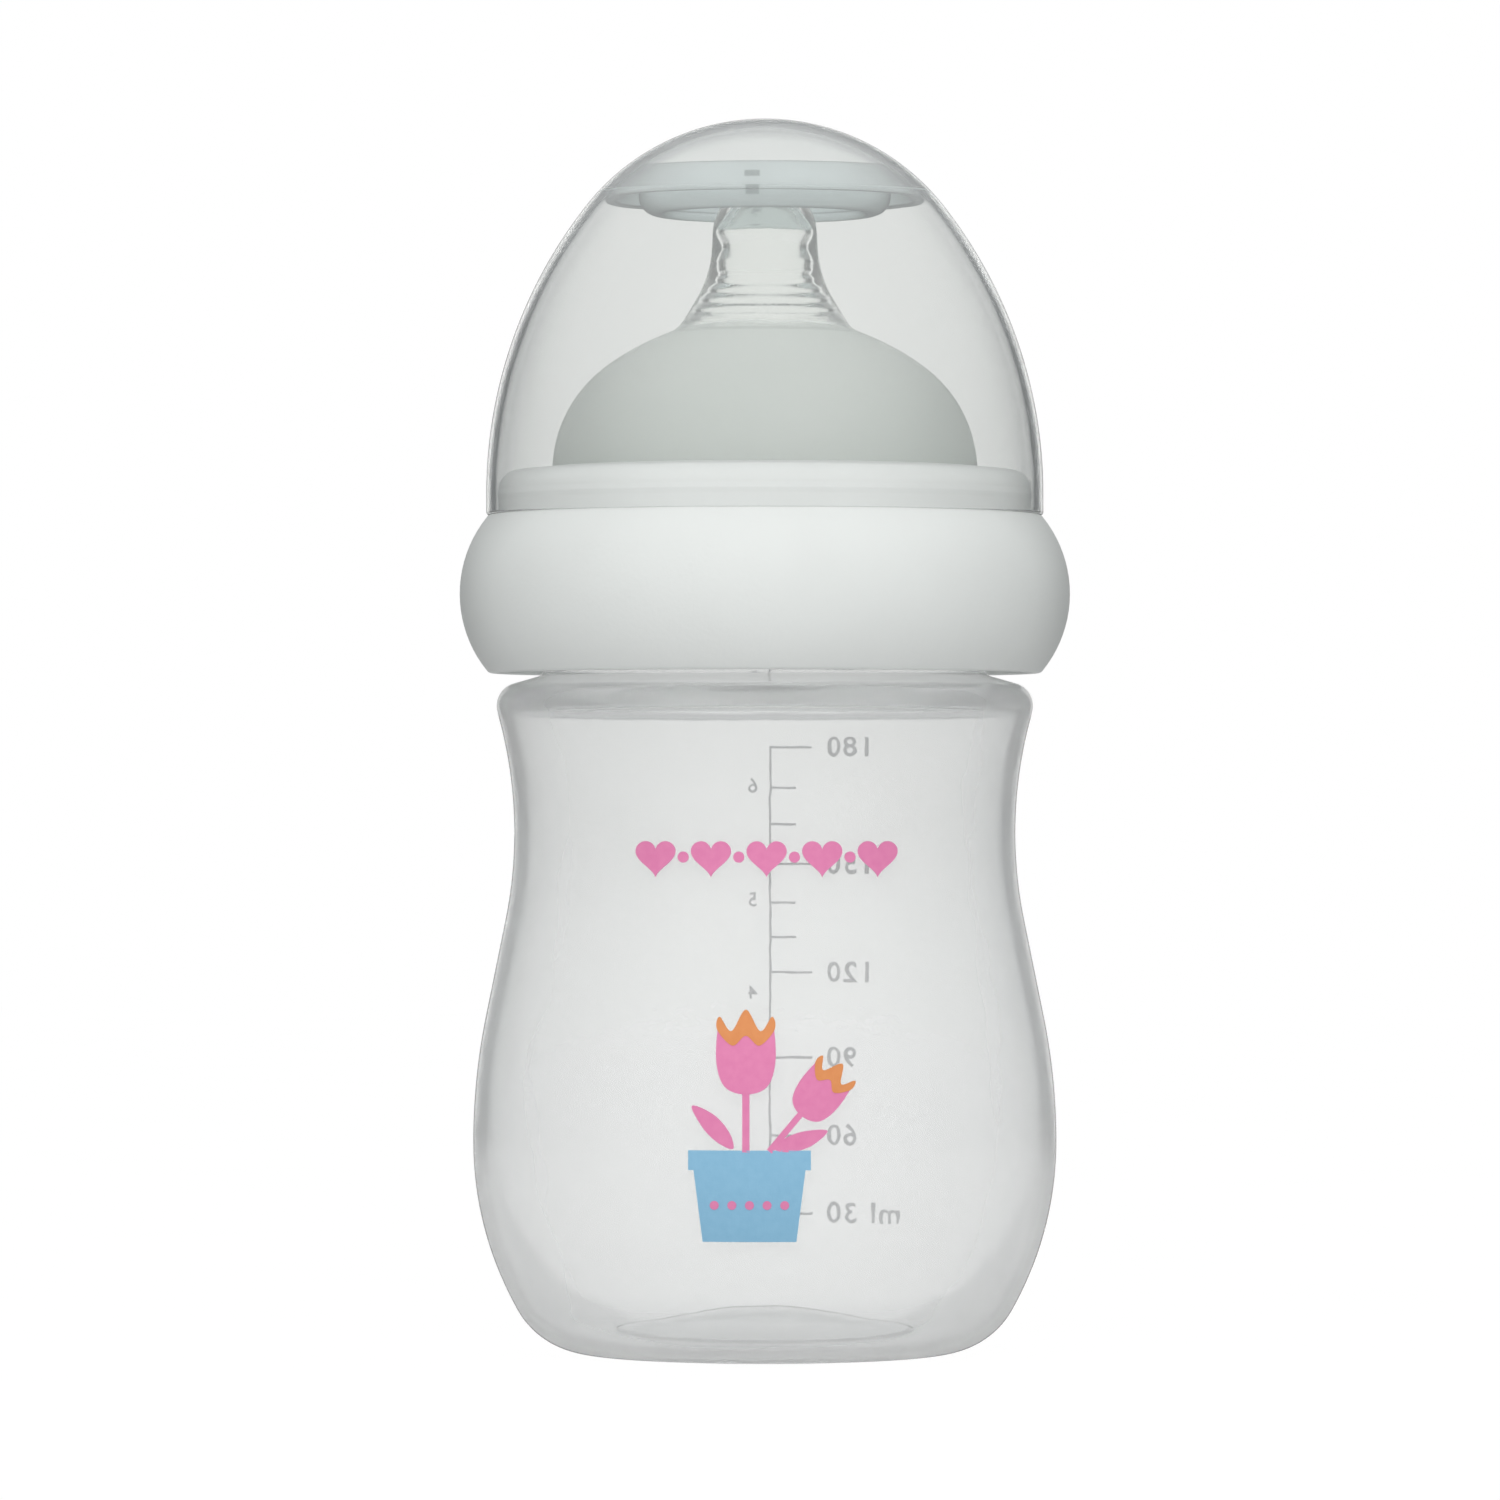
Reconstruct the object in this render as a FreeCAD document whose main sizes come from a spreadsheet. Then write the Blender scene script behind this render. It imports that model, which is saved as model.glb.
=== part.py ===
import FreeCAD, Part
import os

import Sketcher
from FreeCAD import Vector

# Wide-neck baby feeding bottle: bottle, silicone teat, screw ring, clear hood and the hood's
# sealing cup. Millimetres, +Z up. The origin is the centre of the foot ring, on the surface
# the bottle stands on. Everything is turned about Z except the two threads and the air vents.

# alias: (value, what it is)
DIMENSIONS = {
    # bottle
    "wall": (1.5, "bottle wall"),
    "push_up_z": (3.8, "height of the push-up in the middle of the base"),
    "push_up_rad": (17.5, "radius where the push-up meets the foot ring"),
    "corner_arc": (9.7, "base corner"),
    "belly_rad": (33.4, "belly, the widest part of the bottle"),
    "belly_z": (24.2, "height of the belly"),
    "belly_low_arc": (39.2, "outline below the belly"),
    "belly_high_arc": (72.0, "outline above the belly"),
    "waist_rad": (28.7, "waist, where the bottle is gripped"),
    "waist_z": (59.6, "height of the waist"),
    "waist_arc": (50.0, "outline of the waist"),
    "lip_rad": (30.75, "rounded edge of the shoulder"),
    "lip_arc": (2.6, "round on the edge of the shoulder"),
    "shoulder_z": (77.7, "foot of the neck"),
    "neck_rad": (25.4, "outside of the neck"),
    "bore_rad": (23.4, "inside of the neck"),
    "rim_z": (95.1, "top of the neck"),
    "rim_round": (0.5, "rounded edges of the rim"),
    # thread, single start, right-handed
    "thread_pitch": (4.5, "rise in one turn"),
    "thread_turns": (1.5, "turns of each ridge"),
    "thread_z": (82.4, "middle of the neck ridge where it starts"),
    "thread_rad": (26.75, "crest of the neck ridge"),
    "thread_root": (2.4, "height of a ridge at its root"),
    "thread_crest": (1.2, "height of a ridge at its crest"),
    "thread_bury": (0.25, "how far a ridge is rooted in its wall"),
    "thread_play": (0.35, "radial play of the ring's thread on the neck's"),
    "thread_drop": (1.8, "how far the ring's ridge lies under the neck's"),
    # screw ring
    "ring_rad": (35.0, "widest part of the ring"),
    "ring_mid_z": (87.0, "height of the widest part"),
    "ring_arc": (14.0, "outline of the ring"),
    "ring_foot_z": (77.9, "underside of the ring"),
    "ring_foot_round": (0.8, "rounded lower edge of the ring"),
    "sleeve_z": (78.5, "lower end of the threaded sleeve"),
    "sleeve_rad": (29.0, "outside of the threaded sleeve"),
    "recess_rad": (30.6, "outer side of the recess around the sleeve"),
    "recess_z": (92.5, "depth the recess reaches"),
    "ledge_z": (96.0, "ledge the hood stands on"),
    "collar_rad": (30.55, "collar inside the hood"),
    "collar_z": (101.4, "top of the collar"),
    "collar_round": (2.2, "rounded edge of the collar"),
    "collar_dish": (0.35, "fall of the collar's top towards its edge"),
    "bead_rad": (30.68, "crest of the bead that grips the hood"),
    "bead_z": (98.2, "height of that bead"),
    "bead_round": (0.6, "section radius of that bead"),
    "hole_rad": (24.75, "hole the teat comes through"),
    "grip_rad": (23.75, "lip that holds the teat by its groove"),
    "grip_z": (99.4, "top of that lip"),
    "plate_z": (97.6, "underside of the ring's top plate"),
    # teat
    "skin": (1.8, "wall of the teat"),
    "flange_rad": (26.4, "sealing flange of the teat"),
    "flange_z": (95.15, "underside of the flange"),
    "flange_top_z": (97.55, "top of the flange"),
    "groove_rad": (23.4, "groove for the ring's lip"),
    "groove_top_z": (99.65, "top of the groove"),
    "dome_rad": (24.4, "foot of the dome"),
    "dome_side_z": (101.0, "where the dome starts to curve in"),
    "dome_top_z": (119.0, "apex of the dome's curve"),
    "dome_arc": (31.0, "upper curve of the dome"),
    "teat_rad": (5.7, "narrowest part of the teat"),
    "teat_waist_z": (125.8, "height of the narrowest part"),
    "tip_z": (134.5, "end of the teat"),
    "tip_arc": (6.0, "round end of the teat"),
    "tip_hole_rad": (0.3, "milk hole"),
    "root_rad": (20.6, "opening under the teat"),
    "root_z": (98.6, "height of the stiff root ring"),
    "vent_wide": (1.8, "width of an air vent"),
    "vent_deep": (0.6, "depth of an air vent"),
    "vent_in_rad": (22.9, "inner end of an air vent"),
    "flap_long": (2.4, "flap that closes an air vent"),
    "flap_thick": (0.45, "thickness of that flap"),
    "flap_wide": (3.2, "width of that flap"),
    # hood
    "hood_wall": (1.0, "wall of the hood"),
    "hood_rad": (31.95, "outside of the hood at its rim"),
    "hood_rim_z": (96.05, "rim of the hood"),
    "hood_side_z": (98.5, "where the hood starts to curve in"),
    "hood_top_z": (141.5, "top of the hood"),
    "hood_crown_arc": (26.1, "curve of the hood's crown"),
    "stop_z": (131.6, "bead that holds the sealing cup"),
    "stop_round": (0.45, "section radius of that bead"),
    # sealing cup inside the hood
    "cup_gap": (0.08, "gap between the cup and the hood"),
    "cup_wall": (1.0, "wall of the sealing cup"),
    "cup_rad": (14.5, "outside of the cup"),
    "roof_z": (136.0, "flat roof of the cap"),
    "roof_round": (0.8, "rounded edge of the roof"),
    "cup_rim_z": (130.4, "rim of the cup"),
    "cup_brim_z": (132.0, "brim that lies against the hood"),
    "cup_round": (0.9, "rounded rim of the cup"),
    "seal_rad": (3.4, "pad above the milk hole"),
    "seal_z": (134.7, "underside of that pad"),
}

doc = FreeCAD.newDocument("baby_bottle")
sheet = doc.addObject("Spreadsheet::Sheet", "dims")


def fill_sheet():
    """Writes one row for each driving dimension: its name, its value and what it is."""
    for row, (alias, (value, note)) in enumerate(DIMENSIONS.items(), start=1):
        sheet.set(f"A{row}", alias)
        sheet.set(f"B{row}", str(value))
        sheet.set(f"C{row}", note)
        sheet.setAlias(f"B{row}", alias)
    doc.recompute()


def new_body(label):
    """A sub-part that stands in the model's own frame."""
    body = doc.addObject("PartDesign::Body", label)
    body.Label = label
    body.Placement = FreeCAD.Placement()
    return body


def new_sketch(body, name, role="XZ_Plane"):
    """A sketch on one of the body's own origin planes."""
    sketch = body.newObject("Sketcher::SketchObject", name)
    plane = next(item for item in body.Origin.OriginFeatures if item.Role == role)
    sketch.AttachmentSupport = [(plane, "")]
    sketch.MapMode = "FlatFace"
    return sketch


class Section:
    """A closed outline of lines and arcs in a sketch whose x is the radius and y the height.

    The outline is drawn roughly, as the points where its edges start. An edge's bow is how far
    its middle stands out to the left of the straight way to the next point, and 0 is a line.
    Constraints bound to the sheet then pull it to size, and make() checks that nothing is free.
    """

    ORIGIN = (-1, 1)
    FLOOR = -1
    AXIS = -2
    CENTRE = 3

    def __init__(self, body, name, edges):
        self.sketch = new_sketch(body, name)
        self.order = [edge[0] for edge in edges]
        self.bows = {}
        self.constraints = []
        self.bound = {}
        for index, (edge, x, y, bow) in enumerate(edges):
            start = Vector(x, y, 0)
            end = Vector(*edges[(index + 1) % len(edges)][1:3], 0)
            self.bows[edge] = bow
            self.sketch.addGeometry(self._curve(start, end, bow))

    @staticmethod
    def _curve(start, end, bow):
        if not bow:
            return Part.LineSegment(start, end)
        along = (end - start).normalize()
        middle = (start + end) / 2 + Vector(-along.y, along.x, 0) * bow
        return Part.Arc(start, middle, end)

    def _point(self, edge, where):
        """The sketch's own (geometry, point) pair: it keeps every arc anticlockwise."""
        if where == "centre":
            return self.order.index(edge), self.CENTRE
        forward = self.bows[edge] <= 0
        return self.order.index(edge), 1 if (where == "start") == forward else 2

    def _bind(self, constraint, expression):
        self.bound[len(self.constraints)] = expression
        self.constraints.append(constraint)

    def join(self, smooth=()):
        """Closes the outline; the edges named in smooth run on into the next one without a corner."""
        for index, edge in enumerate(self.order):
            after = self.order[(index + 1) % len(self.order)]
            kind = "Tangent" if edge in smooth else "Coincident"
            ends = self._point(edge, "end") + self._point(after, "start")
            self.constraints.append(Sketcher.Constraint(kind, *ends))

    def upright(self, *edges):
        for edge in edges:
            self.constraints.append(Sketcher.Constraint("Vertical", self.order.index(edge)))

    def level(self, *edges):
        for edge in edges:
            self.constraints.append(Sketcher.Constraint("Horizontal", self.order.index(edge)))

    def parallel(self, first, second):
        pair = self.order.index(first), self.order.index(second)
        self.constraints.append(Sketcher.Constraint("Parallel", *pair))

    def concentric(self, *pairs):
        for first, second in pairs:
            ends = self._point(first, "centre") + self._point(second, "centre")
            self.constraints.append(Sketcher.Constraint("Coincident", *ends))

    def same_height(self, edge, where, other, other_where):
        ends = self._point(edge, where) + self._point(other, other_where)
        self.constraints.append(Sketcher.Constraint("Horizontal", *ends))

    def radius(self, edge, expression):
        value = self.sketch.evalExpression(expression)
        self._bind(Sketcher.Constraint("Radius", self.order.index(edge), value), expression)

    def at(self, edge, where, x=None, y=None):
        """Places a point of an edge: x is its radius and y its height, as sheet expressions."""
        for kind, expression in (("DistanceX", x), ("DistanceY", y)):
            if expression is not None:
                value = self.sketch.evalExpression(expression)
                ends = self.ORIGIN + self._point(edge, where)
                self._bind(Sketcher.Constraint(kind, *ends, value), expression)

    def on_axis(self, edge, where):
        """Keeps a point at radius 0."""
        ends = self._point(edge, where) + (self.AXIS,)
        self.constraints.append(Sketcher.Constraint("PointOnObject", *ends))

    def on_floor(self, edge, *places):
        """Keeps points of an edge at height 0."""
        for where in places:
            ends = self._point(edge, where) + (self.FLOOR,)
            self.constraints.append(Sketcher.Constraint("PointOnObject", *ends))

    def make(self):
        """Solves the sketch, and refuses an outline that is loose or over-constrained."""
        self.sketch.addConstraint(self.constraints)
        for index, expression in self.bound.items():
            self.sketch.setExpression(f"Constraints[{index}]", expression)
        doc.recompute()
        if self.sketch.solve() != 0 or not self.sketch.FullyConstrained:
            raise RuntimeError(f"sketch {self.sketch.Name} isn't solved")
        return self.sketch


def turn(body, name, sketch):
    """Turns a half section about Z."""
    solid = body.newObject("PartDesign::Revolution", name)
    solid.Profile = sketch
    solid.ReferenceAxis = (sketch, ["V_Axis"])
    solid.Angle = 360
    doc.recompute()
    return solid


def wind_thread(body, name, root_x, crest_x, middle_y):
    """Winds a ridge of trapezoid section round Z, with its root buried in the wall."""
    inner = body.evalExpression(root_x)
    outer = body.evalExpression(crest_x)
    height = body.evalExpression(middle_y)
    side = 1 if outer > inner else -1
    ridge = Section(body, f"{name}_section", [
        ("low", inner, height - side, 0),
        ("crest", outer, height - side / 2, 0),
        ("high", outer, height + side / 2, 0),
        ("root", inner, height + side, 0),
    ])
    ridge.join()
    ridge.upright("crest", "root")
    sign_low, sign_high = ("-", "+") if side > 0 else ("+", "-")
    # the flanks run on at their own slope through the buried part
    deep = "(1 + dims.thread_bury / (dims.thread_rad - dims.neck_rad)) / 2"
    root_half = f"(dims.thread_crest / 2 + (dims.thread_root - dims.thread_crest) * {deep})"
    ridge.at("low", "start", x=root_x, y=f"{middle_y} {sign_low} {root_half}")
    ridge.at("root", "start", y=f"{middle_y} {sign_high} {root_half}")
    ridge.at("crest", "start", x=crest_x, y=f"{middle_y} {sign_low} dims.thread_crest / 2")
    ridge.at("high", "start", y=f"{middle_y} {sign_high} dims.thread_crest / 2")
    sketch = ridge.make()
    thread = body.newObject("PartDesign::AdditiveHelix", name)
    thread.Profile = sketch
    thread.ReferenceAxis = (sketch, ["V_Axis"])
    thread.Mode = "pitch-turns-angle"
    thread.setExpression("Pitch", "dims.thread_pitch")
    thread.setExpression("Turns", "dims.thread_turns")
    doc.recompute()
    return thread


def add_bead(body, name, centre_x, centre_y, radius):
    """Adds a round bead that runs all the way round the wall it is half sunk in."""
    sketch = new_sketch(body, f"{name}_section")
    x, y, size = (body.evalExpression(item) for item in (centre_x, centre_y, radius))
    sketch.addGeometry(Part.Circle(Vector(x, y, 0), Vector(0, 0, 1), size))
    sketch.addConstraint([
        Sketcher.Constraint("DistanceX", -1, 1, 0, 3, x),
        Sketcher.Constraint("DistanceY", -1, 1, 0, 3, y),
        Sketcher.Constraint("Radius", 0, size),
    ])
    for index, expression in enumerate((centre_x, centre_y, radius)):
        sketch.setExpression(f"Constraints[{index}]", expression)
    doc.recompute()
    return turn(body, name, sketch)


def rim_edges(shape, height, tolerance=1e-4):
    """Names of the edges that lie in the level plane at this height."""
    return [
        f"Edge{number}"
        for number, edge in enumerate(shape.Edges, start=1)
        if abs(edge.BoundBox.ZMin - height) < tolerance and edge.BoundBox.ZLength < tolerance
    ]


def make_bottle():
    """Blown bottle with an even wall, a push-up base and a threaded wide neck."""
    body = new_body("bottle_body")
    section = Section(body, "bottle_section", [
        ("push_up", 0, 3.8, 1.0),
        ("foot", 17.5, 0, 0),
        ("corner", 20, 0, -1.0),
        ("belly_low", 28.5, 5, -1.0),
        ("belly_high", 33.4, 24, -0.5),
        ("flank", 31.8, 40, 0),
        ("waist", 29.8, 50, 1.0),
        ("lip", 30.6, 73.5, -1.0),
        ("shoulder", 29, 76.7, 0),
        ("neck", 25.4, 77.7, 0),
        ("rim", 25.4, 95, 0),
        ("bore", 23.4, 95, 0),
        ("shoulder_in", 23.4, 76.5, 0),
        ("lip_in", 28.5, 75.2, 0.4),
        ("waist_in", 29.2, 73.8, -1.0),
        ("flank_in", 28.3, 50, 0),
        ("belly_high_in", 30.3, 40, 0.5),
        ("belly_low_in", 31.9, 24, 1.0),
        ("corner_in", 27.3, 6, 1.0),
        ("floor", 20, 1.5, 0),
        ("push_up_in", 17.5, 1.5, -1.0),
        ("axis", 0, 5.3, 0),
    ])
    section.join(smooth=(
        "foot", "corner", "belly_low", "belly_high", "flank", "waist", "lip",
        "shoulder_in", "lip_in", "waist_in", "flank_in", "belly_high_in", "belly_low_in", "corner_in",
    ))
    section.level("rim", "floor")
    section.upright("neck", "bore", "axis")
    # base
    section.on_axis("push_up", "centre")
    section.on_axis("push_up", "start")
    section.at("push_up", "start", y="dims.push_up_z")
    section.at("foot", "start", x="dims.push_up_rad")
    section.on_floor("foot", "start", "end")
    section.radius("corner", "dims.corner_arc")
    # side
    section.at("belly_high", "start", x="dims.belly_rad", y="dims.belly_z")
    section.same_height("belly_high", "start", "belly_high", "centre")
    section.radius("belly_low", "dims.belly_low_arc")
    section.radius("belly_high", "dims.belly_high_arc")
    section.at("waist", "centre", x="dims.waist_rad + dims.waist_arc", y="dims.waist_z")
    section.radius("waist", "dims.waist_arc")
    section.at("lip", "centre", x="dims.lip_rad - dims.lip_arc")
    section.radius("lip", "dims.lip_arc")
    # neck
    section.at("neck", "start", x="dims.neck_rad", y="dims.shoulder_z")
    section.at("bore", "start", x="dims.bore_rad", y="dims.rim_z")
    # inside, one wall in
    section.concentric(
        ("push_up_in", "push_up"), ("corner_in", "corner"), ("belly_low_in", "belly_low"),
        ("belly_high_in", "belly_high"), ("waist_in", "waist"), ("lip_in", "lip"),
    )
    section.radius("waist_in", "dims.waist_arc + dims.wall")
    section.radius("belly_high_in", "dims.belly_high_arc - dims.wall")
    section.parallel("shoulder_in", "shoulder")
    section.at("axis", "start", y="dims.push_up_z + dims.wall")
    turn(body, "bottle_wall", section.make())
    thread = wind_thread(
        body, "neck_thread",
        root_x="dims.neck_rad - dims.thread_bury",
        crest_x="dims.thread_rad",
        middle_y="dims.thread_z",
    )
    rim = body.newObject("PartDesign::Fillet", "rim_round")
    rim.Base = (thread, rim_edges(thread.Shape, DIMENSIONS["rim_z"][0]))
    rim.setExpression("Radius", "dims.rim_round")
    doc.recompute()
    return body


def make_ring():
    """Round-sided screw ring: threaded sleeve, lip that grips the teat, collar for the hood."""
    body = new_body("screw_ring")
    section = Section(body, "ring_section", [
        ("foot_round", 31, 77.9, -0.2),
        ("side", 31.8, 78.4, -3.0),
        ("ledge", 31.7, 96, 0),
        ("collar", 30.1, 96, 0),
        ("collar_edge", 30.1, 99, -0.6),
        ("collar_top", 28, 101, 0),
        ("hole", 24.7, 101.4, 0),
        ("grip_top", 24.7, 99.4, 0),
        ("grip", 23.7, 99.4, 0),
        ("plate", 23.7, 97.6, 0),
        ("thread_bore", 27.1, 97.6, 0),
        ("sleeve_end", 27.1, 78.5, 0),
        ("sleeve", 29, 78.5, 0),
        ("recess_top", 29, 92.5, 0),
        ("recess", 30.6, 92.5, 0),
        ("foot", 30.6, 77.9, 0),
    ])
    section.join(smooth=("foot", "foot_round", "collar", "collar_edge"))
    section.level("ledge", "grip_top", "plate", "sleeve_end", "recess_top", "foot")
    section.upright("collar", "hole", "grip", "thread_bore", "sleeve", "recess")
    section.at("side", "centre", x="dims.ring_rad - dims.ring_arc", y="dims.ring_mid_z")
    section.radius("side", "dims.ring_arc")
    section.radius("foot_round", "dims.ring_foot_round")
    section.at("foot", "start", x="dims.recess_rad", y="dims.ring_foot_z")
    section.at("collar", "start", x="dims.collar_rad", y="dims.ledge_z")
    section.radius("collar_edge", "dims.collar_round")
    section.at("collar_top", "start", y="dims.collar_z - dims.collar_dish")
    section.at("hole", "start", x="dims.hole_rad", y="dims.collar_z")
    section.at("grip", "start", x="dims.grip_rad", y="dims.grip_z")
    section.at("thread_bore", "start", x="dims.thread_rad + dims.thread_play", y="dims.plate_z")
    section.at("sleeve", "start", x="dims.sleeve_rad", y="dims.sleeve_z")
    section.at("recess_top", "start", y="dims.recess_z")
    turn(body, "ring_wall", section.make())
    add_bead(
        body, "hood_bead",
        centre_x="dims.bead_rad - dims.bead_round", centre_y="dims.bead_z", radius="dims.bead_round",
    )
    wind_thread(
        body, "ring_thread",
        root_x="dims.thread_rad + dims.thread_play + dims.thread_bury",
        crest_x="dims.neck_rad + dims.thread_play",
        middle_y="dims.thread_z - dims.thread_drop",
    )
    return body


def cut_vents(body, section_solid):
    """Two air vents across the sealing face, each closed on the inside by a hanging flap."""
    notch = new_sketch(body, "vent_outline", role="XY_Plane")
    notch.setExpression("AttachmentOffset.Base.z", "dims.flange_z")
    flap = new_sketch(body, "flap_outline", role="XY_Plane")
    flap.setExpression("AttachmentOffset.Base.z", "dims.flange_z")
    draw_slab(notch, "dims.vent_in_rad", "dims.flange_rad + dims.wall", "dims.vent_wide")
    draw_slab(flap, "dims.vent_in_rad - dims.flap_thick", "dims.vent_in_rad", "dims.flap_wide")
    vent = body.newObject("PartDesign::Pocket", "vent")
    vent.Profile = notch
    vent.setExpression("Length", "dims.vent_deep")
    vent.Reversed = True
    doc.recompute()
    if vent.Shape.Volume >= section_solid.Shape.Volume:
        raise RuntimeError("the air vent cuts nothing")
    hanging = body.newObject("PartDesign::Pad", "vent_flap")
    hanging.Profile = flap
    hanging.setExpression("Length", "dims.flap_long")
    hanging.Reversed = True
    doc.recompute()
    pair = body.newObject("PartDesign::PolarPattern", "vent_pair")
    pair.Originals = [vent, hanging]
    pair.Axis = (notch, ["N_Axis"])
    pair.Angle = 360
    pair.Occurrences = 2
    body.Tip = pair
    doc.recompute()


def draw_slab(sketch, near, far, wide):
    """Draws a rectangle across the X axis, from one distance from the centre to another."""
    near_x, far_x, width = (sketch.evalExpression(item) for item in (near, far, wide))
    corners = [
        Vector(near_x, -width / 2, 0),
        Vector(far_x, -width / 2, 0),
        Vector(far_x, width / 2, 0),
        Vector(near_x, width / 2, 0),
    ]
    constraints = []
    for index, corner in enumerate(corners):
        after = (index + 1) % 4
        sketch.addGeometry(Part.LineSegment(corner, corners[after]))
        constraints.append(Sketcher.Constraint("Coincident", index, 2, after, 1))
    constraints.append(Sketcher.Constraint("Horizontal", 0))
    constraints.append(Sketcher.Constraint("Horizontal", 2))
    constraints.append(Sketcher.Constraint("Vertical", 1))
    constraints.append(Sketcher.Constraint("Symmetric", 0, 1, 3, 1, -1))
    first_size = len(constraints)
    constraints.append(Sketcher.Constraint("DistanceX", -1, 1, 0, 1, near_x))
    constraints.append(Sketcher.Constraint("DistanceX", -1, 1, 0, 2, far_x))
    constraints.append(Sketcher.Constraint("DistanceY", 1, 1, 1, 2, width))
    sketch.addConstraint(constraints)
    for index, expression in enumerate((near, far, wide), start=first_size):
        sketch.setExpression(f"Constraints[{index}]", expression)
    doc.recompute()


def make_nipple():
    """Silicone teat: round dome, flared teat, grooved root and a flange that seals on the rim."""
    body = new_body("nipple")
    section = Section(body, "nipple_section", [
        ("tip", 0.3, 134.5, 2.0),
        ("teat_neck", 5.8, 127.4, -0.1),
        ("flare", 5.7, 125.8, -1.0),
        ("crown", 11.8, 116.7, 0.2),
        ("side", 18.3, 113, 1.5),
        ("skirt", 24.4, 101, 0),
        ("groove_top", 24.4, 99.6, 0),
        ("groove", 23.4, 99.6, 0),
        ("flange_top", 23.4, 97.5, 0),
        ("flange_edge", 26.4, 97.5, 0),
        ("flange_base", 26.4, 95.1, 0),
        ("root", 20.6, 95.1, 0),
        ("root_slope", 20.6, 98.6, 0),
        ("side_in", 22.6, 101, -1.4),
        ("crown_in", 17.2, 111.5, -0.2),
        ("flare_in", 11.2, 115, 1.0),
        ("teat_neck_in", 3.9, 125.8, 0.1),
        ("tip_in", 4.0, 127.8, -1.5),
        ("milk_hole", 0.3, 132.7, 0),
    ])
    section.join(smooth=(
        "tip", "teat_neck", "flare", "crown", "side",
        "side_in", "crown_in", "flare_in", "teat_neck_in",
    ))
    section.upright("skirt", "groove", "flange_edge", "root", "milk_hole")
    section.level("groove_top", "flange_top", "flange_base")
    # outside, from the tip down
    section.on_axis("tip", "centre")
    section.at("tip", "centre", y="dims.tip_z - dims.tip_arc")
    section.radius("tip", "dims.tip_arc")
    section.at("tip", "start", x="dims.tip_hole_rad")
    section.at("flare", "start", x="dims.teat_rad", y="dims.teat_waist_z")
    section.same_height("flare", "start", "flare", "centre")
    section.on_axis("crown", "centre")
    section.at("crown", "centre", y="dims.dome_top_z - dims.dome_arc")
    section.radius("crown", "dims.dome_arc")
    section.at("skirt", "start", x="dims.dome_rad", y="dims.dome_side_z")
    # root
    section.at("groove", "start", x="dims.groove_rad", y="dims.groove_top_z")
    section.at("flange_edge", "start", x="dims.flange_rad", y="dims.flange_top_z")
    section.at("root", "start", x="dims.root_rad", y="dims.flange_z")
    section.at("root_slope", "start", y="dims.root_z")
    # inside, one skin in
    section.concentric(
        ("side_in", "side"), ("crown_in", "crown"), ("flare_in", "flare"),
        ("teat_neck_in", "teat_neck"), ("tip_in", "tip"),
    )
    section.radius("crown_in", "dims.dome_arc - dims.skin")
    section.at("side_in", "start", y="dims.dome_side_z")
    skin = turn(body, "nipple_skin", section.make())
    cut_vents(body, skin)
    return body


def make_hood():
    """Clear hood of two arcs, with a small bead inside that the sealing cup snaps over."""
    body = new_body("hood")
    section = Section(body, "hood_section", [
        ("rim", 30.5, 96, 0),
        ("rim_side", 31.9, 96, 0),
        ("side", 31.9, 98.5, -3.0),
        ("crown", 20.5, 131.5, -3.0),
        ("axis", 0, 141.5, 0),
        ("crown_in", 0, 140.1, 3.0),
        ("side_in", 19.4, 130.6, 3.0),
        ("rim_in", 30.5, 98.5, 0),
    ])
    section.join(smooth=("rim_side", "side", "crown_in", "side_in"))
    section.level("rim")
    section.upright("rim_side", "axis", "rim_in")
    section.at("rim_side", "start", x="dims.hood_rad", y="dims.hood_rim_z")
    section.at("side", "start", y="dims.hood_side_z")
    section.on_axis("crown", "centre")
    section.on_axis("axis", "start")
    section.at("axis", "start", y="dims.hood_top_z")
    section.radius("crown", "dims.hood_crown_arc")
    section.concentric(("crown_in", "crown"), ("side_in", "side"))
    section.radius("crown_in", "dims.hood_crown_arc - dims.hood_wall")
    turn(body, "hood_wall", section.make())
    # the bead stands on the crown's inner side, where the cup's brim ends
    inside = "(dims.hood_crown_arc - dims.hood_wall)"
    centre = "(dims.hood_top_z - dims.hood_crown_arc)"
    add_bead(
        body, "cup_stop",
        centre_x=f"sqrt({inside} ^ 2 - (dims.stop_z - {centre}) ^ 2)",
        centre_y="dims.stop_z",
        radius="dims.stop_round",
    )
    return body


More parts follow.
